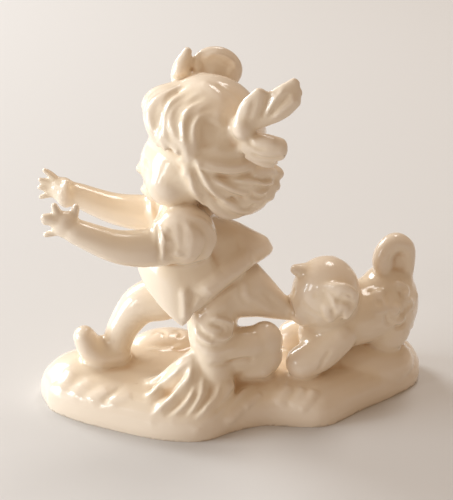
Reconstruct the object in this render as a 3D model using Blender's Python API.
"""A cream glazed ceramic figurine, cast in one piece.

A girl with two ribboned bunches runs to the left with both arms held out, and the puppy
behind her tugs at her petticoat. Both stand on a grassy mound with a flat foot.
Units are metres, +Z is up, the girl runs towards -X, and the origin is in the flat foot.
"""

import math

import bmesh
import bpy
import numpy as np
from mathutils import Matrix, Vector

# Mound
MOUND_LENGTH = 0.1485
MOUND_DEPTH = 0.0588
MOUND_HEIGHT = 0.014
BLADE_WIDTH = 0.0034
BLADE_BED_RADIUS = 0.0040

# Girl
HEAD_RADII = Vector((0.0207, 0.0198, 0.0222))
FACE_RADII = Vector((0.0155, 0.0172, 0.0145))
CHEEK_RADIUS = 0.0086
NECK_RADIUS = 0.0085
LOCK_WIDTH = 0.0036
CURL_RADIUS = 0.0024
RIBBON_THICKNESS = 0.0042
BODICE_WIDTH = 0.026
HEM_WIDTH = 0.039
HEM_THICKNESS = 0.0016
SLEEVE_RADIUS = 0.0105
ARM_RADIUS = 0.0069
WRIST_RADIUS = 0.0045
FINGER_RADIUS = 0.0017
THIGH_RADIUS = 0.0096
ANKLE_RADIUS = 0.0057
SHOE_RADIUS = 0.0062

# Puppy
PUPPY_HEAD_RADIUS = 0.0128
PUPPY_WAIST_RADIUS = 0.0112
HAUNCH_RADIUS = 0.0126
PAW_RADIUS = 0.0066
TAIL_RADIUS = 0.0031
TUFT_RADIUS = 0.0034
EAR_THICKNESS = 0.0042

# Casting
CLAY_GRAIN = 0.0007
GLAZE_ROUNDS = 8
TRIANGLES = 11400
GLAZE_COLOUR = (0.80, 0.66, 0.47, 1.0)


def at(x, y, z):
    """A place given in millimetres, its height taken from the top of the mound."""
    return Vector((x / 1000, y / 1000, MOUND_HEIGHT + z / 1000))


HEAD_AT = at(-9.8, 0, 91)
PUPPY_AT = at(44, 0, 0)
SIDEWAYS = Vector((0.0, 1.0, 0.0))


def by_head(x, y, z):
    return HEAD_AT + Vector((x, y, z)) / 1000


def by_puppy(x, y, z):
    return PUPPY_AT + Vector((x, y, z)) / 1000


def smooth_path(points, steps):
    """Points along a smooth curve through the given ones."""
    points = [np.array(p, float) for p in points]
    line = [2 * points[0] - points[1], *points, 2 * points[-1] - points[-2]]
    out = []
    for a, b, c, d in zip(line, line[1:], line[2:], line[3:]):
        for t in np.arange(steps) / steps:
            bend = (2 * a - 5 * b + 4 * c - d) * t**2 + (3 * b - a - 3 * c + d) * t**3
            out.append(b + 0.5 * ((c - a) * t + bend))
    return np.array([*out, points[-1]])


def add(clay, piece):
    """Joins one closed piece to the clay."""
    mesh = bpy.data.meshes.new("piece")
    piece.to_mesh(mesh)
    piece.free()
    clay.from_mesh(mesh)
    bpy.data.meshes.remove(mesh)


def bridge(piece, rings):
    """A closed skin over rings of vertices, capped at both ends."""
    for a, b in zip(rings, rings[1:]):
        edges = [piece.edges.get(pair) for ring in (a, b) for pair in zip(ring, ring[1:] + ring[:1])]
        bmesh.ops.bridge_loops(piece, edges=edges)
    for ring in (rings[0], rings[-1]):
        piece.faces.new(ring)


def ball(clay, centre, radii, turn=(0.0, 0.0, 0.0)):
    """An egg of clay. turn is in degrees about X, then Y, then Z."""
    rotation = Matrix.Identity(4)
    for angle, axis in zip(turn, "XYZ"):
        rotation = Matrix.Rotation(math.radians(angle), 4, axis) @ rotation
    piece = bmesh.new()
    place = Matrix.Translation(centre) @ rotation @ Matrix.Diagonal((*radii, 1.0))
    bmesh.ops.create_icosphere(piece, subdivisions=4, radius=1.0, matrix=place)
    add(clay, piece)


def roll(clay, points, radii, flat=1.0, heart=None):
    """A tapering roll of clay with round ends.

    flat squeezes it from the sides or, where heart is given, towards that point.
    """
    path = smooth_path(points, 5)
    sizes = smooth_path([(r,) for r in radii], 5)[:, 0]
    piece = bmesh.new()
    rings = []

    def ring(centre, along, size):
        depth = SIDEWAYS if heart is None else centre - heart
        depth = (depth - along * depth.dot(along)).normalized()
        wide = along.cross(depth)
        place = Matrix((wide * size, depth * size * flat, along)).transposed().to_4x4()
        place.translation = centre
        rings.append(bmesh.ops.create_circle(piece, segments=20, radius=1.0, matrix=place)["verts"])

    first = Vector(path[1] - path[0]).normalized()
    last = Vector(path[-1] - path[-2]).normalized()
    swell = min(flat, 1.0)
    for angle in (75, 50, 25):
        a = math.radians(angle)
        ring(Vector(path[0]) - first * sizes[0] * swell * math.sin(a), first, sizes[0] * math.cos(a))
    for k, (point, size) in enumerate(zip(path, sizes)):
        along = Vector(path[min(k + 1, len(path) - 1)] - path[max(k - 1, 0)]).normalized()
        ring(Vector(point), along, size)
    for angle in (25, 50, 75):
        a = math.radians(angle)
        ring(Vector(path[-1]) + last * sizes[-1] * swell * math.sin(a), last, sizes[-1] * math.cos(a))
    bridge(piece, rings)
    add(clay, piece)


def loft(clay, rings):
    """A closed skin over rings of points."""
    piece = bmesh.new()
    made = []
    for ring in rings:
        verts = [piece.verts.new(point) for point in ring]
        for a, b in zip(verts, verts[1:] + verts[:1]):
            piece.edges.new((a, b))
        made.append(verts)
    bridge(piece, made)
    add(clay, piece)


def times(size, *shares):
    return [size * share for share in shares]


# The mound's outline, as shares of its length and depth
OUTLINE = [
    (-0.493, 0.10), (-0.473, -0.06), (-0.408, -0.21), (-0.299, -0.375), (-0.190, -0.505), (-0.095, -0.54),
    (-0.014, -0.455), (0.061, -0.41), (0.136, -0.445), (0.218, -0.46), (0.313, -0.315), (0.422, -0.155),
    (0.493, -0.01), (0.507, 0.16), (0.470, 0.325), (0.340, 0.43), (0.150, 0.435), (-0.041, 0.47),
    (-0.231, 0.46), (-0.395, 0.385), (-0.470, 0.265),
]
# Its side from the foot up, as shares of its height and millimetres out from the outline
SIDE = [
    (-0.15, -0.5), (0.06, 0.0), (0.22, 0.3), (0.5, -0.1), (0.72, -1.4), (0.88, -4.0), (0.97, -7.5), (1, -11),
]


def outline_ring(height, out):
    """The outline grown by a distance, as a ring of points at one height."""
    closed = OUTLINE + OUTLINE[:3]
    path = smooth_path([(x * MOUND_LENGTH, y * MOUND_DEPTH) for x, y in closed], 4)[4:-8]
    ring = []
    for before, here, after in zip(np.roll(path, 1, axis=0), path, np.roll(path, -1, axis=0)):
        way = (after - before) / np.linalg.norm(after - before)
        ring.append((here[0] + way[1] * out, here[1] - way[0] * out, height))
    return ring


def mound(clay):
    loft(clay, [outline_ring(share * MOUND_HEIGHT, out / 1000) for share, out in SIDE])
    for x, y, z, rx, ry, rz in [
        (-54, 7, -5.5, 17, 15, 8), (-32, 8, -5, 20, 16, 6.5), (0, 4, -6, 28, 20, 6.8),
        (36, 1, -6, 26, 18, 6.4), (60, 7, -5, 14, 14, 7.5), (-24, 19, -3, 15, 9, 8.0),
        (44, 12, -5, 24, 12, 9.5), (51, 2, -4.5, 21, 14, 11), (36, -1, -4, 12, 9, 9),
    ]:
        ball(clay, at(x, y, z), Vector((rx, ry, rz)) / 1000)


# The grass blades that fan out of the tuft: root, places on the way, and tip, in millimetres
BLADES = [
    [(-16.4, -17.6, 14.6), (-22.0, -16.4, 9.6), (-27.9, -13.9, 2.8), (-33.2, -12.6, 0.2)],
    [(-17.0, -18.8, 12.6), (-22.7, -18.2, 7.6), (-27.5, -17.4, 2.0), (-33.6, -20.6, -0.8)],
    [(-17.0, -19.8, 11.0), (-18.4, -22.0, 6.6), (-22.5, -24.0, 2.0), (-28.0, -25.6, -2.2),
     (-32.6, -26.4, -5.0)],
    [(-16.6, -24.0, 4.4), (-19.6, -26.6, -0.4), (-25.6, -28.6, -4.6)],
    [(-13.1, -21.4, 7.6), (-13.9, -24.6, 3.0), (-16.8, -27.6, -1.2), (-20.6, -29.6, -4.8)],
    [(-6.6, -22.8, 5.0), (-9.4, -25.8, 0.4), (-13.6, -28.8, -2.8), (-17.8, -30.2, -6.0)],
    [(3.4, -18.9, -1.0), (-0.5, -22.7, -2.2), (-6.1, -26.8, -4.6)],
]
# The grooves between the blades, in millimetres
GROOVES = [
    [(-20.0, -17.2, 12.2), (-25.4, -15.8, 6.6), (-29.6, -15.4, 1.4), (-34.9, -17.4, 0.0)],
    [(-18.5, -20.4, 9.6), (-22.2, -21.2, 5.4), (-27.1, -21.3, 0.6), (-32.8, -24.4, -2.6)],
    [(-17.0, -23.5, 5.2), (-19.0, -25.6, 2.0), (-23.5, -27.0, -1.8), (-28.4, -28.4, -5.0)],
    [(-14.9, -24.6, 3.8), (-17.4, -27.6, -0.6), (-21.6, -29.6, -4.4)],
    [(-10.1, -23.6, 4.8), (-12.6, -26.4, 0.4), (-16.5, -29.5, -3.2)],
    [(-2.5, -21.4, 2.4), (-5.6, -25.4, -0.8), (-10.7, -29.0, -4.2)],
]


def grass(clay):
    """The tuft that props the near knee, and the blades that fan out from it."""
    roll(clay, [at(-8.4, -18.0, -8), at(-8.2, -17.4, 4), at(-8.8, -15.6, 15)], (0.0082, 0.0066, 0.0070))
    bed_shift = Vector((0.0014, 0.0018, -0.0030))
    for blade in BLADES:
        places = [at(*place) for place in blade]
        roll(clay, [place + bed_shift for place in places], [BLADE_BED_RADIUS] * len(places))
        roll(clay, places, times(BLADE_WIDTH / 2, 0.6, *[0.95] * (len(places) - 2), 0.3))


def legs(clay):
    roll(
        clay,
        [
            at(-13, 5, 32), at(-25, 6.5, 26.5), at(-34, 7, 23),
            at(-40.3, 6.8, 15), at(-43.3, 6.2, 8), at(-44.5, 6, 3),
        ],
        [*times(THIGH_RADIUS, 1.05, 0.96, 0.80), *times(ANKLE_RADIUS, 1.08, 1.0, 0.98)],
    )
    roll(
        clay,
        [at(-43.8, 5.8, 3.6), at(-49.3, 5.4, 4.0), at(-53.6, 4.6, 7.8), at(-55.6, 4.2, 12.2)],
        times(SHOE_RADIUS, 0.92, 1.0, 0.86, 0.7),
        flat=1.12,
    )
    roll(
        clay,
        [at(-8, -7, 33), at(-9, -12, 24), at(-9, -14.5, 17), at(-2, -14, 15.2), at(6, -13, 15.2)],
        times(THIGH_RADIUS, 1.1, 0.95, 0.8, 0.74, 0.68),
    )
    ball(clay, at(10.6, -12, 15.0), times(SHOE_RADIUS, 1.12, 0.98, 1.30))
    ball(clay, at(10.6, -12, 9.0), times(SHOE_RADIUS, 1.12, 0.98, 1.18))
    roll(clay, [at(9, -12.8, 6.2), at(4.2, -13.6, 5.4)], times(SHOE_RADIUS, 0.92, 0.76), flat=1.1)
    roll(clay, [at(-8, -12.5, 10), at(-1, -12.5, 10), at(6, -12, 10)], (0.0080, 0.0074, 0.0070))
    roll(clay, [at(-10, -11, 3), at(0, -10, 4), at(9, -9, 2)], (0.0078, 0.0078, 0.0070))


def dress_ring(front, back, width, side, fore, aft, sharp, middle=-19.9):
    """One ring of the skirt, in millimetres: its reach, and its heights at the sides, front and back."""
    ring = []
    for a in np.linspace(0, 2 * math.pi, 64, endpoint=False):
        c, s = math.cos(a), math.sin(a)
        share = min(abs(c) ** sharp, 1.0)
        y = math.copysign(width * abs(s) ** sharp, s)
        if c > 0:
            height = side + (aft - side) * (1 - (1 - share) ** 2)
            ring.append(at(middle + back * share, y, height))
        else:
            height = side + (fore - side) * (0.55 * share + 0.45 * (1 - math.sqrt(1 - share**2)))
            ring.append(at(middle - front * share, y, height))
    return ring


def dress(clay):
    bodice, hem, cloth = BODICE_WIDTH * 500, HEM_WIDTH * 500, HEM_THICKNESS * 1000
    loft(clay, [
        dress_ring(4.0, 7.0, bodice * 0.5, 67, 67, 67, 1.0, -18),
        dress_ring(7.0, 10.0, bodice * 0.8, 63, 63, 63, 1.0, -18),
        dress_ring(9.5, 14.5, bodice, 58, 58.5, 59.2, 1.0, -18.2),
        dress_ring(12.0, 22.5, bodice * 1.15, 50, 54, 56.6, 1.05, -18.6),
        dress_ring(14.0, 29.5, bodice * 1.32, 40, 50, 53.4, 1.15),
        dress_ring(15.0, 33.2, (bodice * 1.32 + hem) / 2, 34, 47.5, 51.5, 1.25),
        dress_ring(15.3, 35.4, hem, 27.8, 44.5, 47.4, 1.35),
        dress_ring(15.1, 34.6, hem - 0.3, 27.8 - cloth, 44.5 - cloth, 47.0 - cloth, 1.35),
        dress_ring(12.0, 30.0, hem - 3.0, 30.5, 44, 46.0, 1.3),
        dress_ring(8.0, 22.0, hem - 8.0, 36, 45, 46.4, 1.2),
    ])


# The petticoat, in millimetres: how far along, its middle, half width, and its lower and upper edge
PETTICOAT = [
    (-27, 0.0, 6.0, 30.0, 42.0), (-20, 0.0, 12.0, 24.5, 45.0), (-12, -1.0, 14.5, 23.0, 45.0),
    (-4, -1.5, 14.5, 23.0, 45.5), (3, -3.0, 11.5, 22.5, 45.0), (9, -4.5, 7.5, 22.2, 43.2),
    (14, -5.5, 4.4, 21.2, 37.5), (19, -6.0, 2.6, 20.4, 31.0), (25, -6.0, 1.9, 19.5, 26.5),
]


def petticoat(clay):
    rings = []
    for x, y, half, low, high in PETTICOAT:
        middle, tall = (low + high) / 2, (high - low) / 2
        ring = []
        for a in np.linspace(0, 2 * math.pi, 40, endpoint=False):
            rise = math.copysign(abs(math.sin(a)) ** 0.8, math.sin(a))
            ring.append(at(x, y + half * math.cos(a), middle + tall * rise))
        rings.append(ring)
    loft(clay, rings)
    ball(clay, at(-8.5, -11.5, 23.5), (0.0092, 0.0072, 0.0060))


NEAR_WRIST = at(-56, -15.3, 64.3)
FAR_WRIST = at(-56, 17, 65)


def arms(clay):
    """Both arms in their puffed sleeves."""
    for shoulder, elbow, forearm, wrist in [
        (at(-20, -13, 57.5), at(-31, -15.3, 56.8), at(-42.5, -16, 58.3), NEAR_WRIST),
        (at(-20, 12, 57.5), at(-31, 14.6, 57.3), at(-42.5, 16, 59.2), FAR_WRIST),
    ]:
        sizes = [ARM_RADIUS, ARM_RADIUS, ARM_RADIUS * 0.85, WRIST_RADIUS]
        roll(clay, [shoulder, elbow, forearm, wrist], sizes)
        side = math.copysign(1.0, shoulder.y)
        puff = shoulder + Vector((0.0018, 0.0006 * side, 0.0030))
        ball(clay, puff, times(SLEEVE_RADIUS, 1.04, 0.84, 1.04))
        ball(clay, puff + Vector((0.0050, 0.0, -0.0012)), times(SLEEVE_RADIUS, 0.60, 0.66, 0.80))
        cuff = shoulder + (elbow - shoulder) * 0.66 + Vector((0.0, 0.0, 0.0010))
        ball(clay, cuff, times(SLEEVE_RADIUS, 0.24, 0.74, 0.79), turn=(0, -8, -8 * side))


# The fingers and thumbs: a place on the way, the tip, and their size
NEAR_FINGERS = [
    ((-61.6, -15.3, 71.4), (-62.7, -15.5, 74.3), 0.95),
    ((-63.6, -15.8, 69.6), (-66.2, -16.0, 70.4), 1.10),
    ((-63.8, -15.2, 68.2), (-66.4, -15.2, 68.4), 0.90),
    ((-63.0, -15.0, 64.4), (-66.3, -15.0, 63.5), 0.85),
    ((-56.4, -14.6, 70.0), (-55.4, -14.2, 73.0), 1.00),
]
FAR_FINGERS = [
    ((-63.6, 17.6, 72.0), (-66.8, 17.8, 74.6), 0.80),
    ((-65.2, 17.6, 70.0), (-68.7, 17.8, 71.0), 0.74),
    ((-65.4, 17.4, 67.7), (-69.1, 17.6, 68.0), 0.74),
    ((-65.0, 17.2, 65.4), (-68.9, 17.2, 64.4), 0.74),
    ((-59.6, 14.4, 68.6), (-58.9, 14.0, 70.9), 1.00),
]


def hands(clay):
    for wrist, palm, fingers in [
        (NEAR_WRIST, at(-59.4, -15.1, 67.0), NEAR_FINGERS),
        (FAR_WRIST, at(-60.6, 17.0, 67.0), FAR_FINGERS),
    ]:
        ball(clay, palm, (0.0046, 0.0034, 0.0050))
        roll(clay, [wrist, palm], times(WRIST_RADIUS, 1.0, 0.9), flat=0.85)
        for middle, tip, size in fingers:
            roll(clay, [palm, at(*middle), at(*tip)], times(FINGER_RADIUS * size, 1.3, 1.0, 0.85))
    ball(clay, at(-59.6, 14.8, 65.4), (0.0036, 0.0028, 0.0048))


FACE_AT = by_head(-7.4, 0, -9.3)


def head(clay):
    ball(clay, by_head(1.1, 0, 0.4), HEAD_RADII)
    ball(clay, FACE_AT, FACE_RADII)
    for side in (-1, 1):
        ball(clay, FACE_AT + Vector((-0.0055, 0.0080 * side, -0.0035)), [CHEEK_RADIUS] * 3)
    ball(clay, FACE_AT + Vector((-0.0100, 0.0, -0.0088)), (0.0052, 0.0060, 0.0046))
    ball(clay, FACE_AT + Vector((-0.0149, 0.0, -0.0010)), (0.0022, 0.0023, 0.0020))
    roll(clay, [by_head(-4, 0, -20), by_head(-7, 0, -30)], times(NECK_RADIUS, 1.0, 1.05))


# The locks of the fringe, in millimetres from the head's middle, and their widths
FRINGE = [
    ([(-9.0, -3.0, 19.4), (-16.6, -4.5, 15.6), (-19.3, -6.5, 11.5), (-18.8, -9.5, 7.2), (-17.0, -13.0, 3.0)],
     (0.7, 1.35, 1.5, 1.35, 0.7)),
    ([(-2.0, -6.0, 19.2), (-12.6, -9.6, 15.2), (-14.9, -12.2, 11.0), (-14.0, -15.2, 6.6), (-11.6, -17.6, 1.8),
      (-8.6, -18.8, -1.6)], (0.7, 1.3, 1.45, 1.35, 1.1, 0.5)),
    ([(3.4, -8.6, 18.0), (-7.2, -12.4, 15.4), (-10.1, -14.8, 11.4), (-9.5, -18.0, 7.0), (-8.4, -19.0, 2.8),
      (-6.8, -19.2, -1.0)], (0.6, 1.2, 1.4, 1.3, 1.1, 0.5)),
    ([(7.0, -10.4, 15.8), (-2.2, -13.8, 15.0), (-5.9, -16.5, 10.8), (-6.0, -18.8, 6.0), (-5.8, -19.2, 1.0)],
     (0.5, 1.05, 1.2, 1.1, 0.5)),
]
# The partings between them
PARTINGS = [
    [(-9.5, -3.6, 20.6), (-15.6, -7.6, 16.6), (-17.4, -10.0, 11.9), (-17.0, -13.6, 8.0), (-15.6, -16.0, 4.0)],
    [(-4.0, -8.6, 20.6), (-11.7, -13.3, 16.1), (-13.2, -15.0, 12.6), (-12.4, -17.3, 8.0), (-10.4, -18.8, 3.2),
     (-8.2, -19.6, -0.6)],
    [(1.0, -11.5, 19.0), (-6.6, -15.7, 15.8), (-8.1, -17.7, 11.6), (-7.5, -18.7, 6.6), (-6.8, -19.9, 1.6)],
    [(4.5, -13.2, 16.8), (-2.0, -17.2, 14.0), (-4.2, -19.2, 9.9), (-4.8, -20.3, 4.7), (-4.6, -20.4, 0.8)],
]
# The edge where the brushed hair overhangs the lower locks, in millimetres from the head's middle
LEDGE = [
    (-7, -18.6, 0.8), (-3, -19.2, -1.2), (1, -19.4, -2.6), (5.5, -19, -3.8), (10.5, -17.8, -4.2),
    (16, -14.5, -4),
]
# The lower locks, which fall from the ear towards the bunch, in millimetres from the head's middle
LOWER_LOCKS = [
    ([(-7.0, -17.8, -1.0), (-6.6, -17.6, -7), (-4.6, -16.4, -13), (-1.6, -14.4, -19)], (0.4, 0.9, 0.9, 0.4)),
    ([(-5.0, -18.6, -0.5), (-3.4, -18.4, -7), (0.6, -17.2, -12.5),
      (6.0, -15.6, -18)], (0.4, 0.95, 1.05, 0.5)),
    ([(-2.5, -18.8, -2), (0.8, -18.6, -7.5), (6.4, -17.6, -12), (13.0, -15.6, -15.5)], (0.4, 1.0, 1.1, 0.6)),
    ([(1.0, -17.0, -12), (5.5, -15.8, -17.5), (10.5, -14.4, -21.0),
      (15.0, -12.8, -23)], (0.5, 0.9, 1.0, 0.6)),
    ([(-2.0, -15.6, -13), (1.0, -14.4, -19), (5.5, -13, -23.6), (10.5, -11.6, -25)], (0.5, 0.9, 1.0, 0.6)),
    ([(4.0, -18.4, -6.5), (9.5, -17.6, -9.4), (15.5, -15.6, -11.2),
      (21.5, -12.4, -13)], (0.5, 1.0, 1.1, 0.6)),
    ([(9.0, -16.8, -6.5), (14.5, -15.2, -7.4), (20.0, -12.6, -8.4), (24.5, -9, -11)], (0.5, 1.0, 1.0, 0.5)),
    ([(9.0, -15.8, -15), (14.0, -14.4, -16.4), (18.5, -12.4, -18), (22.5, -10, -18)], (0.5, 0.9, 0.95, 0.5)),
]
# The curled ends of the bunch, in millimetres from the head's middle
CURLS = [
    (26.0, -7, -12.8), (24.4, -9, -16.8), (22.2, -10, -20.0), (18.8, -10.5, -22.6), (14.8, -10.5, -24.6),
    (10.0, -10.5, -25.4), (5.4, -10.5, -25.0), (25.2, -1, -14.0), (22.8, -3, -20.0), (18.5, -4, -24.4),
    (12.5, -4.5, -26.8),
]


def hair(clay):
    ball(clay, by_head(-9.6, 0, 9.4), (0.0118, 0.0142, 0.0100))
    for side in (1, -1):
        for path, widths in FRINGE:
            roll(
                clay,
                [by_head(x, side * y, z) for x, y, z in path],
                times(LOCK_WIDTH / 2, *widths),
                flat=0.8,
                heart=HEAD_AT,
            )
        roll(
            clay,
            [by_head(x, side * y, z) for x, y, z in LEDGE],
            times(LOCK_WIDTH / 2, 0.5, 0.9, 1.0, 1.0, 0.9, 0.5),
        )
        for path, widths in LOWER_LOCKS:
            roll(
                clay,
                [by_head(x, side * y, z) for x, y, z in path],
                times(LOCK_WIDTH * 0.68, *widths),
                flat=0.8,
                heart=HEAD_AT,
            )
        for x, y, z in CURLS:
            root, middle = by_head(x * 0.72, side * y, z * 0.78), by_head(x * 0.96, side * y, z * 0.92)
            tip = by_head(x * 1.02, side * (y + 0.8), z * 1.02)
            roll(clay, [root, middle, tip], times(CURL_RADIUS, 1.7, 1.1, 0.35))
        ball(clay, by_head(13, -8.0 * side, -15.6), (0.0102, 0.0082, 0.0108), turn=(0, 25, 0))
    ball(clay, by_head(7, 0, -13), (0.0150, 0.0154, 0.0145))
    ball(clay, by_head(8, 0, -19.6), (0.0112, 0.0116, 0.0086))


def bows(clay):
    """Two ribbons tied at the sides of the head."""
    flat = RIBBON_THICKNESS / 0.0100
    ball(clay, by_head(10.6, -18.6, 9.8), (0.0042, 0.0038, 0.0048))
    for path, widths, share in [
        ([(10.6, -18.8, 10), (13.6, -19.6, 16.4), (17.0, -20.2, 22.3)], (3.4, 4.3, 2.6), 1.3),
        ([(13.5, -19.0, 11.4), (21.6, -20.0, 17.0), (26.4, -20.5, 21.0)], (3.4, 5.5, 5.2), 1.0),
        ([(25.4, -20.4, 22.4), (28.4, -20.5, 25.6)], (3.4, 2.0), 1.2),
        ([(26.0, -20.4, 18.8), (29.2, -20.5, 19.2)], (3.0, 2.3), 1.2),
        ([(25.0, -20.4, 20.0), (29.4, -20.5, 22.4)], (3.4, 2.2), 1.2),
        ([(11.6, -18.4, 4.6), (18, -19.5, 2.8), (23.6, -20.4, 2.2)], (3.6, 5.0, 4.2), 1.5),
        ([(13.5, -18.5, 1.0), (18.5, -19, -2.2), (21.8, -19.2, -3.2)], (3.0, 2.6, 1.8), 1.0),
    ]:
        places = [by_head(*place) for place in path]
        roll(clay, places, [width / 1000 for width in widths], flat=flat * share)
    ball(clay, by_head(-1.0, 14, 15.5), (0.0056, 0.0044, 0.0044))
    far_lobe = [by_head(-7.8, 14, 14), by_head(-6.6, 15, 21.5), by_head(-4.3, 15.5, 27.0)]
    roll(clay, far_lobe, (0.0036, 0.0032, 0.0018), flat=0.9)
    ball(clay, by_head(6.0, 16.4, 20.0), (0.0096, 0.0036, 0.0082), turn=(0, 18, 0))


# The shaggy locks of an ear, in millimetres out from the head's middle plane, and their widths
EAR_LOCKS = [
    ([(-11.6, 9.4, 37.4), (-7.5, 11.2, 37.6), (-3.4, 11.8, 35.2),
      (-1.6, 11.6, 30.4)], (0.14, 0.25, 0.27, 0.12)),
    ([(-11.8, 9.4, 35.8), (-8.2, 11.4, 33.6), (-5.0, 11.8, 29.6),
      (-4.2, 10.8, 25.4)], (0.14, 0.26, 0.26, 0.09)),
    ([(-12.4, 9.4, 34.4), (-10.8, 11.2, 31.2), (-9.4, 11.2, 27.8),
      (-9.8, 10.6, 24.6)], (0.12, 0.20, 0.18, 0.08)),
]
# Tufts on the haunch, in millimetres out from its middle plane, and their sizes
TUFTS = [
    (20.0, -8.4, 25.5, 0.9), (22.5, -8.0, 20.5, 0.9), (18.5, -10.2, 20.0, 0.85), (14.5, -9.4, 25.5, 0.8),
    (14.5, -9.6, 13.5, 0.8), (21.0, -8.4, 13.0, 0.85), (25.2, -4.5, 24.0, 0.9), (25.6, -4.0, 18.0, 0.85),
    (23.8, -5.0, 12.0, 0.8), (22.6, -4.6, 28.0, 0.8),
]
TAIL = [
    (22.2, 5.6, 30), (23.4, 5.4, 38), (22.3, 5.0, 43), (18, 4.4, 45.3), (14.2, 3.8, 42), (13.2, 3.2, 37.5),
    (14.8, 3.0, 33.6),
]


def puppy(clay):
    size = PUPPY_HEAD_RADIUS
    middle = by_puppy(-9.8, -6, 30.8)
    ball(clay, middle, times(size, 1.0, 0.90, 1.12))
    roll(clay, [by_puppy(-14, -6, 38.5), by_puppy(-21.3, -6, 41.0)], times(size, 0.42, 0.17))
    ball(clay, by_puppy(-16.8, -6, 26), times(size, 0.56, 0.62, 0.64))
    waist = PUPPY_WAIST_RADIUS
    roll(
        clay,
        [by_puppy(-8, -5, 16.5), by_puppy(3, -1, 18), by_puppy(14, 4, 19.5)],
        times(waist, 0.86, 1.04, 1.14),
    )
    ball(clay, by_puppy(16.4, 5, 19.5), times(HAUNCH_RADIUS, 0.98, 0.96, 1.27))
    ball(clay, by_puppy(-10, -4.5, 13), times(waist, 0.84, 0.80, 0.90))
    for side in (-1, 1):
        for path, widths in EAR_LOCKS:
            places = [by_puppy(x, -6 + side * y, z) for x, y, z in path]
            roll(clay, places, times(size, *widths), flat=EAR_THICKNESS / 0.0070)
        paw = by_puppy(-18.8, -2.2 + 10.4 * side, 5.4)
        roll(
            clay,
            [by_puppy(-5, -3 + 6.5 * side, 15), by_puppy(-12, -2.5 + 9 * side, 9), paw],
            times(PAW_RADIUS, 1.1, 1.08, 1.0),
        )
        ball(clay, by_puppy(15.5, 5 + 6.5 * side, 12), times(HAUNCH_RADIUS, 0.74, 0.5, 0.80))
        for x, y, z, share in TUFTS:
            ball(clay, by_puppy(x, 5 + side * y, z), times(TUFT_RADIUS, share, share * 0.8, share))
    tail = [by_puppy(*place) for place in TAIL]
    roll(clay, tail, times(TAIL_RADIUS, 1.3, 1.1, 1.12, 1.2, 1.12, 0.96, 0.7))
    ball(clay, by_puppy(19.0, 6.2, 36.0), (0.0050, 0.0034, 0.0072))


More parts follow.
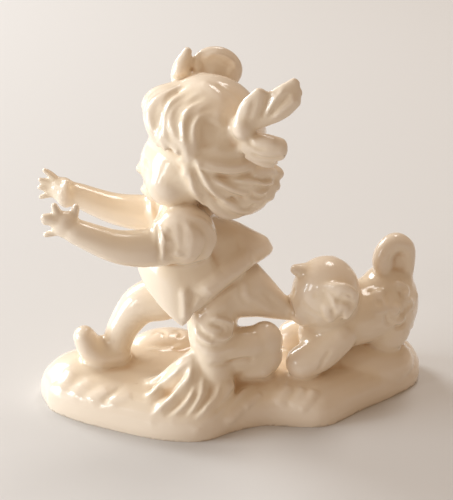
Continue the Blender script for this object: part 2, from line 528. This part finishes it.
# Lines worked into the skin: their points, their width and their height in millimetres.
# A negative height carves. Those on the mound, the girl's body and her dress are measured as at() takes them.
BODY_MARKS = [
    ([(-17.8, -18.4, 69.6), (-11.6, -18.2, 67.0), (-8.1, -17.3, 60.7), (-9.6, -18.2, 56.0),
      (-14.7, -15.6, 49.6)], 2.8, 0.8),
    ([(-17.5, -19.2, 67.0), (-13.6, -19.5, 65.0), (-11.2, -19.6, 60.7), (-12.6, -19.6, 56.0),
      (-16, -18.2, 52)], 3.2, -0.7),
    ([(-18.2, -19.2, 68.2), (-16.1, -21.5, 64.0), (-16.5, -22.1, 58.4), (-18.1, -19.7, 53.4)], 3.0, 0.45),
    ([(-20.0, -18.9, 68.4), (-19.4, -21.7, 64.0), (-19.4, -22.0, 58.4)], 3.4, -0.55),
    ([(-25.1, -18.9, 66.1), (-25.6, -20.3, 63.3), (-24.7, -21.1, 59.9)], 4.8, 0.9),
    ([(-22.6, -21.6, 57.9), (-20.7, -21.3, 56.0)], 4.6, 0.7),
    ([(-26.2, -20.6, 57.8), (-23.6, -21.4, 59.2), (-21.4, -21.8, 60.6)], 2.4, -0.4),
    ([(-28.4, -15.9, 66.4), (-28.0, -20.7, 62.1), (-28.4, -20.9, 53.9)], 2.0, -0.9),
    ([(-26.8, -16.2, 66.4), (-26.4, -21.0, 60.0), (-26.8, -20.9, 53.9)], 2.0, 0.4),
    ([(-16.9, -16.6, 44.5), (-20.3, -17.3, 38.0), (-20.8, -18.6, 32.7), (-19.8, -19.6, 29.6)], 5.2, 1.2),
    ([(-22.6, -16.0, 43.4), (-24.2, -16.7, 36.7), (-23.4, -17.6, 32.0)], 6.0, -0.5),
    ([(-14.8, -16.7, 44.1), (-16.1, -17.9, 38.4), (-18.1, -19.5, 33.0)], 5.0, -0.6),
    ([(-18.1, -19.5, 32.0), (-15.5, -19.2, 36.0), (-12.5, -18.6, 38.6)], 3.0, 0.4),
    ([(-12, -17.5, 50), (-3, -17, 55), (7, -14, 60)], 13.0, -1.7),
    ([(-15, -18, 35.5), (-7, -18, 41.5), (2, -15.5, 47), (10, -10, 52)], 10.0, 1.3),
    ([(1.3, -13.0, 40.6), (1.4, -15.2, 36.5), (3.8, -14.1, 31.7)], 3.0, -0.8),
    ([(3.2, -12.4, 40.6), (3.6, -14.4, 36.5), (6.0, -13.1, 31.7)], 3.4, 0.5),
    ([(-1.4, -14.4, 40.4), (-1.2, -15.4, 36.4), (-6.2, -17.6, 33.0), (-9.5, -18.0, 30.5)], 3.0, 0.6),
    ([(-4.0, -15.4, 38.5), (-4.6, -16.4, 35.4), (-9.5, -18.0, 33.0)], 3.0, -0.6),
    ([(5, -13.5, 35), (9.5, -11.5, 29.5), (14.5, -9.5, 25)], 4.0, 0.4),
    ([(9.0, -11.0, 36.5), (13.5, -9.6, 30.5), (17.5, -8.6, 26.5)], 3.4, -0.35),
    ([(-11.2, -18.9, 29.8), (-6.7, -19.7, 29.6), (-2.1, -17.8, 26.0), (-3.4, -19.3, 22.4),
      (-7.6, -21.3, 22.2)], 2.6, 0.9),
    ([(-10.8, -19.4, 27.6), (-7.2, -20.6, 27.2), (-5.2, -19.8, 25.0), (-7.6, -21.0, 24.2)], 2.6, -0.8),
    ([(-15.1, -17.8, 27.1), (-12.8, -20.2, 24.5), (-9.0, -21.3, 23.3)], 2.4, -0.7),
    ([(-16.0, -17.8, 24.6), (-12.8, -20.6, 22.4), (-8.6, -21.6, 20.4)], 2.6, 0.6),
    ([(-15.5, -19.0, 21.4), (-11.5, -21.2, 20.0), (-6.5, -21.6, 19.4)], 2.4, -0.5),
    ([(-14.0, -20.3, 16.8), (-6.9, -21.9, 17.3), (-0.2, -20.5, 18.1)], 3.2, 0.35),
    ([(-8.7, -21.4, 21.6), (-0.9, -17.4, 22.0), (6.5, -16.6, 20.5)], 3.2, 0.4),
    ([(-12.0, -21.8, 12.2), (-4.7, -21.6, 12.2), (2.4, -20.0, 12.4), (6.0, -19.0, 11.0)], 3.0, -0.8),
]
TURF_MARKS = [
    ([(-60.1, -0.8, 0.8), (-63.1, -4.7, -0.9), (-66.3, -6.5, -4.9)], 7.0, 0.9),
    ([(-53.4, -6.9, -0.3), (-57.2, -9.4, -1.6), (-61.1, -10.7, -4.8)], 7.0, 0.8),
    ([(-46.9, -12.8, -0.6), (-51.4, -14.4, -2.3), (-55.2, -14.7, -4.9)], 7.0, 0.8),
    ([(-38.6, -18.0, 0.3), (-43.4, -18.1, -1.9), (-47.9, -18.6, -4.3)], 7.0, 0.8),
    ([(-42.0, -12.5, 0.0), (-46.5, -16.0, -1.6), (-50.5, -17.4, -4.4)], 3.6, -0.6),
    ([(8.8, -20.1, -1.8), (4.8, -22.6, -3.4), (1.2, -24.8, -5.2)], 4.6, 0.9),
    ([(19.6, -18.2, -0.2), (16.3, -22.8, -1.9), (13.4, -24.6, -4.9)], 7.6, 0.8),
    ([(24.6, -19.8, -0.5), (21.7, -23.9, -2.4), (18.5, -25.7, -5.4)], 6.0, 0.7),
    ([(28.8, -21.3, -0.7), (25.2, -25.2, -3.2), (21.3, -26.5, -6.8)], 6.4, 0.8),
    ([(-29.5, 17, 4), (-27, 19, 4.5), (-24.5, 17, 4.5), (-25.5, 14.5, 4)], 2.4, -0.6),
    ([(-21.5, 17, 4.5), (-19, 18.5, 4.5), (-18, 16.5, 4), (-20, 14.5, 3.5)], 2.4, -0.6),
    ([(-32.5, 10.5, 1.5), (-25, 10, 1), (-16.5, 13, 1)], 3.0, 0.5),
]
# In millimetres from the head's middle: the hair below the fringe, then the ribbons on the near side
TRESS_MARKS = [
    ([(1.0, -16.5, 12.8), (-0.4, -18.0, 8.5), (1.0, -19.0, 2.4)], 12.0, -0.9),
    ([(7.4, -16.1, 12.5), (6.8, -18.1, 7.2), (7.4, -18.7, 1.4)], 13.0, -0.7),
    ([(3.0, -14.5, 16.0), (4.4, -17.5, 9.0), (6.4, -18.8, 2.5)], 3.4, 0.3),
    ([(3.0, -8.0, 20.6), (10.0, -10.5, 17.5), (14.5, -13.0, 12.5)], 4.0, -0.35),
    ([(-2.0, -5.0, 21.4), (6.5, -5.5, 20.6), (13.5, -8.5, 16.5)], 4.0, -0.3),
    ([(7.5, -13.0, 16.0), (9.4, -15.8, 9.5), (9.4, -17.6, 3.0)], 3.4, 0.3),
    ([(-4.0, -20.2, -0.4), (-3.2, -20.1, -2.2), (0.5, -20.3, -4.1), (6.0, -19.8, -5.3), (11.3, -18.2, -5.8),
      (15.7, -16.0, -4.7)], 2.2, 0.6),
    ([(0.5, -20.3, -6.0), (6.0, -19.8, -7.3), (11.3, -18.2, -7.8), (15.7, -16.0, -6.9)], 2.6, -0.9),
    ([(-5.8, -20.3, 0.4), (-2.8, -19.7, -5.0), (-0.2, -19.8, -10.5), (4.1, -17.9, -15.5),
      (8.7, -17.0, -19.1)],
     3.0, 0.9),
    ([(-5.4, -20.0, -2.6), (-4.0, -19.6, -8.0), (-1.4, -19.0, -13.4), (2.6, -17.0, -18.2)], 3.0, -0.9),
    ([(-6.4, -19.4, -5.0), (-6.0, -18.8, -10.0), (-3.6, -17.4, -14.6)], 2.8, 0.6),
    ([(1.5, -20.1, -7.9), (8.4, -19.2, -12.2), (14.7, -15.9, -15.3)], 2.6, 0.6),
    ([(1.6, -20.2, -10.2), (7.4, -18.8, -14.4), (12.8, -15.9, -17.6)], 2.4, -0.8),
    ([(3.0, -19.8, -7.0), (8.8, -19.0, -9.6), (15.0, -16.9, -11.0)], 2.4, -0.7),
    ([(13.5, -18.5, -7.5), (18, -16.5, -10), (22, -14.5, -10.5)], 2.4, -0.8),
    ([(14.5, -18, -11.5), (19, -16, -14), (23, -13, -14)], 2.4, -0.8),
    ([(14, -17.5, -15.5), (18, -17, -17.5), (21, -15, -16.5)], 2.4, -0.8),
    ([(10.5, -18, -19), (14, -16.5, -21.5), (17, -16.5, -20)], 2.4, -0.8),
    ([(15.0, -17.5, -9.5), (19.5, -15.6, -12.0), (23.0, -13.0, -12.2)], 2.0, 0.7),
    ([(14.0, -17.5, -13.5), (18.0, -16.4, -15.8), (21.5, -14.2, -15.4)], 2.0, 0.7),
]
RIBBON_MARKS = [
    ([(19.4, -21.5, 22.5), (18.4, -21.8, 18.5), (16.4, -21.5, 13.2)], 2.8, -0.9),
    ([(26.8, -21.7, 22.5), (22.6, -21.9, 18.6), (18.8, -21.5, 13.8)], 2.2, -0.8),
    ([(24.6, -21.8, 24.6), (20.8, -21.9, 19.4), (17.9, -21.5, 14.9)], 2.0, 0.5),
    ([(28.5, -21.7, 20.5), (24.6, -21.9, 17.0), (20.6, -21.3, 13.6)], 2.4, 0.5),
    ([(14.5, -21.8, 20.5), (13.4, -22.0, 16.5), (12.4, -21.5, 13.0)], 3.0, -0.4),
    ([(13.6, -21.1, 5.7), (17.1, -22.5, 3.4), (20.6, -22.8, 2.6)], 4.6, -1.6),
    ([(13.2, -20.6, 8.0), (19.0, -22.4, 6.4), (25.0, -22.4, 4.4)], 2.4, 0.5),
    ([(-2.0, 12.6, 22.5), (5.0, 12.4, 23.0), (12.0, 12.8, 20.0)], 9.0, -1.1),
    ([(0.0, 12.6, 25.0), (5.5, 12.6, 27.0), (11.5, 12.8, 24.5), (14.0, 13.2, 19.5)], 2.4, 0.6),
]
# The face: lids, sockets, eyes, lips
FACE_MARKS = [
    ([(-21, 5.2, -7.4), (-20.4, 7.8, -7.4)], 6.4, -0.6),
    ([(-21.5, 4.0, -6.6), (-21.2, 6.3, -5.2), (-19.8, 9.2, -6.6)], 1.8, -0.6),
    ([(-21.2, 6.0, -7.6), (-20.8, 7.2, -7.6)], 3.2, 0.6),
]
MOUTH_MARKS = [
    ([(-21.6, -3.2, -15.8), (-22.6, 0, -16.7), (-21.6, 3.2, -15.8)], 1.8, -0.6),
    ([(-22.4, -1.4, -18.4), (-22.4, 1.4, -18.4)], 3.2, 0.5),
]
PUPPY_MARKS = [
    ([(-24.0, -7.0, 30.5), (-23.2, -9.0, 27.4), (-21.6, -10.9, 24.4)], 2.2, -1.2),
    ([(-21.5, -9.0, 34.6), (-22.6, -7.8, 31.6)], 2.6, -0.6),
    ([(-16.0, -15.4, 35.4), (-15.0, -15.9, 34.6)], 3.0, -0.4),
    ([(-15.0, -14.9, 37.4), (-12.5, -15.6, 38.5), (-9.5, -16.8, 40.2)], 2.6, 0.35),
    ([(-12.2, -16.0, 37.0), (-8.3, -18.2, 39.6), (-4.4, -18.6, 39.6), (-1.5, -18.6, 36.8),
      (-0.6, -19.1, 33.2)], 2.4, 0.6),
    ([(-9.0, -17.8, 33.6), (-6.2, -19.4, 34.4), (-3.0, -19.3, 32.8), (-2.6, -19.0, 30.4)], 3.2, -1.1),
    ([(-0.8, -19.0, 31.0), (-3.1, -18.5, 28.5), (-4.6, -17.2, 25.6)], 2.2, 0.6),
    ([(-9.8, -18.3, 31.4), (-9.2, -17.9, 25.7)], 2.2, -0.7),
    ([(-12.2, -17.3, 30.8), (-11.2, -17.0, 26.1)], 2.2, 0.5),
    ([(-5.8, -18.8, 30.4), (-6.1, -17.5, 25.7)], 2.2, -0.7),
    ([(-11.2, -16.9, 36.9), (-9.6, -18.1, 34.8), (-8.1, -18.7, 30.9)], 2.2, 0.6),
    ([(-6.8, -19.0, 36.6), (-4.2, -19.6, 36.6), (-3.0, -19.4, 34.8)], 2.0, -0.5),
    ([(-20.5, -12.2, 31.6), (-16.5, -15.5, 28.1), (-13.0, -16.6, 26.9)], 3.4, -0.35),
    ([(7.6, -3.6, 29.7), (7.2, -7.3, 27.4)], 3.0, -0.5),
    ([(14.3, -4.3, 29.7), (12.4, -6.2, 28.2), (13.2, -8.1, 25.8), (16.0, -8.0, 24.7)], 2.6, -0.7),
    ([(17.7, -4.4, 29.5), (19.5, -5.5, 28.3), (18.8, -7.2, 26.2), (16.2, -8.2, 26.1)], 2.6, -0.7),
    ([(21.6, -6.2, 27.7), (19.8, -7.9, 25.3), (17.6, -7.9, 23.7)], 2.4, -0.6),
    ([(22.9, -7.0, 22.9), (20.5, -7.6, 20.9), (18.1, -8.1, 21.3)], 2.6, -0.8),
    ([(22.0, -7.1, 17.9), (19.9, -6.9, 15.4), (16.4, -8.4, 16.9)], 2.6, -0.8),
    ([(12.8, -8.8, 23.7), (13.6, -9.5, 20.6), (16.2, -8.5, 19.1)], 2.6, -0.6),
    ([(10.8, -6.9, 27.0), (10.0, -9.0, 24.8), (11.2, -9.5, 22.5)], 2.6, -0.5),
    ([(18.6, -1.7, 32.3), (20.7, -2.8, 31.1), (22.3, -4.6, 29.4)], 2.4, -0.5),
    ([(25.5, -3.0, 21.0), (24.5, -5.0, 21.6), (23.5, -6.0, 20.4)], 2.4, -0.6),
    ([(-9, -17.5, 13), (-12, -18.5, 9.5), (-14, -18, 4)], 2.8, -0.4),
]


# The width and height of the lines along the blades, between them, and between the locks of the fringe
BLADE_LINE = (2.8, 0.5)
GROOVE_LINE = (3.0, -0.6)
PARTING_LINE = (3.4, -0.75)


def marks():
    """Every line to be worked into the skin, as places, width and height."""
    found = [([at(*p) for p in points], width, height) for points, width, height in BODY_MARKS + TURF_MARKS]
    for blade in BLADES:
        found.append(([at(*p) for p in blade], *BLADE_LINE))
    for groove in GROOVES:
        found.append(([at(*p) for p in groove], *GROOVE_LINE))
    for side in (-1, 1):
        for points in PARTINGS:
            found.append(([by_head(x, -side * y, z) for x, y, z in points], *PARTING_LINE))
        for points, width, height in TRESS_MARKS:
            found.append(([by_head(x, -side * y, z) for x, y, z in points], width, height))
        for points, width, height in FACE_MARKS:
            found.append(([by_head(x, side * y, z) for x, y, z in points], width, height))
    for points, width, height in RIBBON_MARKS + MOUTH_MARKS:
        found.append(([by_head(*p) for p in points], width, height))
    for points, width, height in PUPPY_MARKS:
        found.append(([by_puppy(*p) for p in points], width, height))
    return found


def cast(clay, grain):
    """Fuses the clay into one skin of even grain."""
    mesh = bpy.data.meshes.new("clay")
    clay.to_mesh(mesh)
    clay.free()
    lump = bpy.data.objects.new("clay", mesh)
    bpy.context.scene.collection.objects.link(lump)
    remesh = lump.modifiers.new("fuse", "REMESH")
    remesh.mode = "VOXEL"
    remesh.voxel_size = grain
    graph = bpy.context.evaluated_depsgraph_get()
    skin = bpy.data.meshes.new_from_object(lump.evaluated_get(graph))
    bpy.data.objects.remove(lump)
    return skin


def vectors(mesh, owner, name, width, kind=np.float32):
    values = np.empty(len(owner) * width, kind)
    owner.foreach_get(name, values)
    return values.reshape(-1, width)


def glaze(mesh, rounds, fill, wear):
    """Fills hollows as a thick glaze does, and softens ridges a little."""
    co = vectors(mesh, mesh.vertices, "co", 3).astype(float)
    a, b = vectors(mesh, mesh.edges, "vertices", 2, np.int32).T
    count = np.bincount(np.concatenate((a, b)), minlength=len(co))[:, None]
    for k in range(rounds):
        if k % 3 == 0:
            mesh.vertices.foreach_set("co", co.astype(np.float32).ravel())
            mesh.update()
            normal = vectors(mesh, mesh.vertex_normals, "vector", 3).astype(float)
        sums = [np.bincount(a, co[b, i], len(co)) + np.bincount(b, co[a, i], len(co)) for i in range(3)]
        pull = np.stack(sums, 1) / count - co
        hollow = (pull * normal).sum(1) > 0
        co += pull * np.where(hollow, fill, wear)[:, None]
    mesh.vertices.foreach_set("co", co.astype(np.float32).ravel())
    mesh.update()


def scratch(co, normal, points, radius, height):
    """How to raise the skin along a line that tapers at its ends. A negative height carves it."""
    line = smooth_path([np.array(p) for p in points], 6)
    line = np.array([co[((co - p) ** 2).sum(1).argmin()] for p in line])
    line[1:-1] = (line[:-2] + 2 * line[1:-1] + line[2:]) / 4
    low, high = line.min(0) - radius, line.max(0) + radius
    near = np.flatnonzero(((co > low) & (co < high)).all(1))
    best = np.full(len(near), np.inf)
    share = np.zeros(len(near))
    for k, (a, b) in enumerate(zip(line, line[1:])):
        way = b - a
        t = np.clip((co[near] - a) @ way / max(way @ way, 1e-12), 0, 1)
        gap = np.linalg.norm(co[near] - a - t[:, None] * way, axis=1)
        closer = gap < best
        best[closer] = gap[closer]
        share[closer] = ((k + t) / (len(line) - 1))[closer]
    taper = np.clip(6 * share, 0.15, 1) * np.clip(6 * (1 - share), 0.15, 1)
    profile = np.clip(1 - (best / radius) ** 2, 0, 1) ** 2
    return near, normal[near] * (height * profile * taper)[:, None]


def tool(mesh, marks):
    """Works the skin with lines. Each mark is a line's points, its width and its height in millimetres."""
    co = vectors(mesh, mesh.vertices, "co", 3).astype(float)
    normal = vectors(mesh, mesh.vertex_normals, "vector", 3).astype(float)
    moved = np.zeros_like(co)
    for points, width, height in marks:
        near, shift = scratch(co, normal, points, width / 2000, height / 1000)
        moved[near] += shift
    mesh.vertices.foreach_set("co", (co + moved).astype(np.float32).ravel())
    mesh.update()


def cut_foot(mesh):
    """Cuts the skin flat at the foot."""
    piece = bmesh.new()
    piece.from_mesh(mesh)
    everything = piece.verts[:] + piece.edges[:] + piece.faces[:]
    cut = bmesh.ops.bisect_plane(
        piece, geom=everything, dist=1e-6, plane_co=(0, 0, 0), plane_no=(0, 0, -1), clear_outer=True
    )
    rim = [e for e in cut["geom_cut"] if isinstance(e, bmesh.types.BMEdge)]
    bmesh.ops.edgeloop_fill(piece, edges=rim)
    bmesh.ops.triangulate(piece, faces=piece.faces[:])
    piece.to_mesh(mesh)
    piece.free()
    mesh.update()


def thin_out(skin, triangles):
    """Leaves about this many triangles, most of them where the skin curves most."""
    lump = bpy.data.objects.new("lump", skin)
    bpy.context.scene.collection.objects.link(lump)
    modifier = lump.modifiers.new("thin out", "DECIMATE")
    modifier.ratio = min(1.0, triangles / (2 * len(skin.polygons)))
    graph = bpy.context.evaluated_depsgraph_get()
    thinned = bpy.data.meshes.new_from_object(lump.evaluated_get(graph))
    bpy.data.objects.remove(lump)
    return thinned


def glazed_ceramic():
    material = bpy.data.materials.new("cream glaze")
    material.use_nodes = True
    surface = material.node_tree.nodes["Principled BSDF"]
    surface.inputs["Base Color"].default_value = GLAZE_COLOUR
    surface.inputs["Roughness"].default_value = 0.22
    surface.inputs["Coat Weight"].default_value = 0.6
    return material


def main():
    for old in list(bpy.data.objects):
        bpy.data.objects.remove(old)
    clay = bmesh.new()
    for form in (mound, grass, legs, dress, petticoat, arms, hands, head, hair, bows, puppy):
        form(clay)
    skin = cast(clay, CLAY_GRAIN)
    glaze(skin, GLAZE_ROUNDS, 0.5, 0.10)
    tool(skin, marks())
    glaze(skin, 2, 0.3, 0.10)
    skin = thin_out(skin, TRIANGLES)
    cut_foot(skin)
    skin.shade_smooth()
    skin.materials.append(glazed_ceramic())
    skin.name = "figurine"
    figurine = bpy.data.objects.new("figurine", skin)
    bpy.context.scene.collection.objects.link(figurine)


main()
